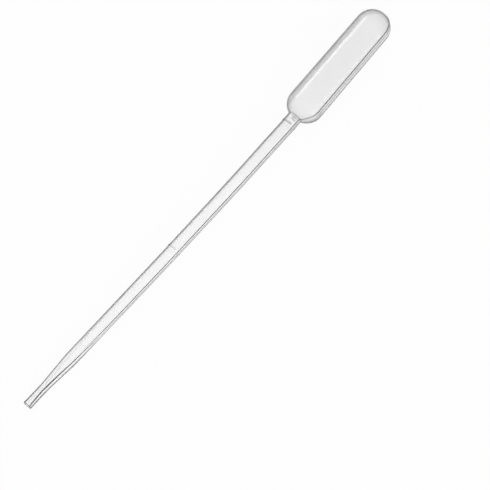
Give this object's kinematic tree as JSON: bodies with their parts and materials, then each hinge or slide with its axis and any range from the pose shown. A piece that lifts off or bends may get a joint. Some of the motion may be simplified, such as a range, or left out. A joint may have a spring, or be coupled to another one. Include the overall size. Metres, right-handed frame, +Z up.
{
  "type": "plastic dropper pipette",
  "caption": "One-piece soft plastic dropper pipette with a squeeze bulb, a long graduated stem and an open drawn tip.",
  "frame": {"origin": "under the middle of the pipette, on the surface that it lies on", "axes": "+X along the pipette from the tip towards the bulb, +Z up; the plane of the mould's parting line holds the curved axis and leans 51 degrees from level, its upper edge towards -Y"},
  "size_m": [0.155, 0.0118, 0.0109],
  "materials": {
    "polyethylene": "milky translucent soft polyethylene, smooth as moulded"
  },
  "bodies": {
    "root": {"pipette": "polyethylene"}
  },
  "joints": []
}
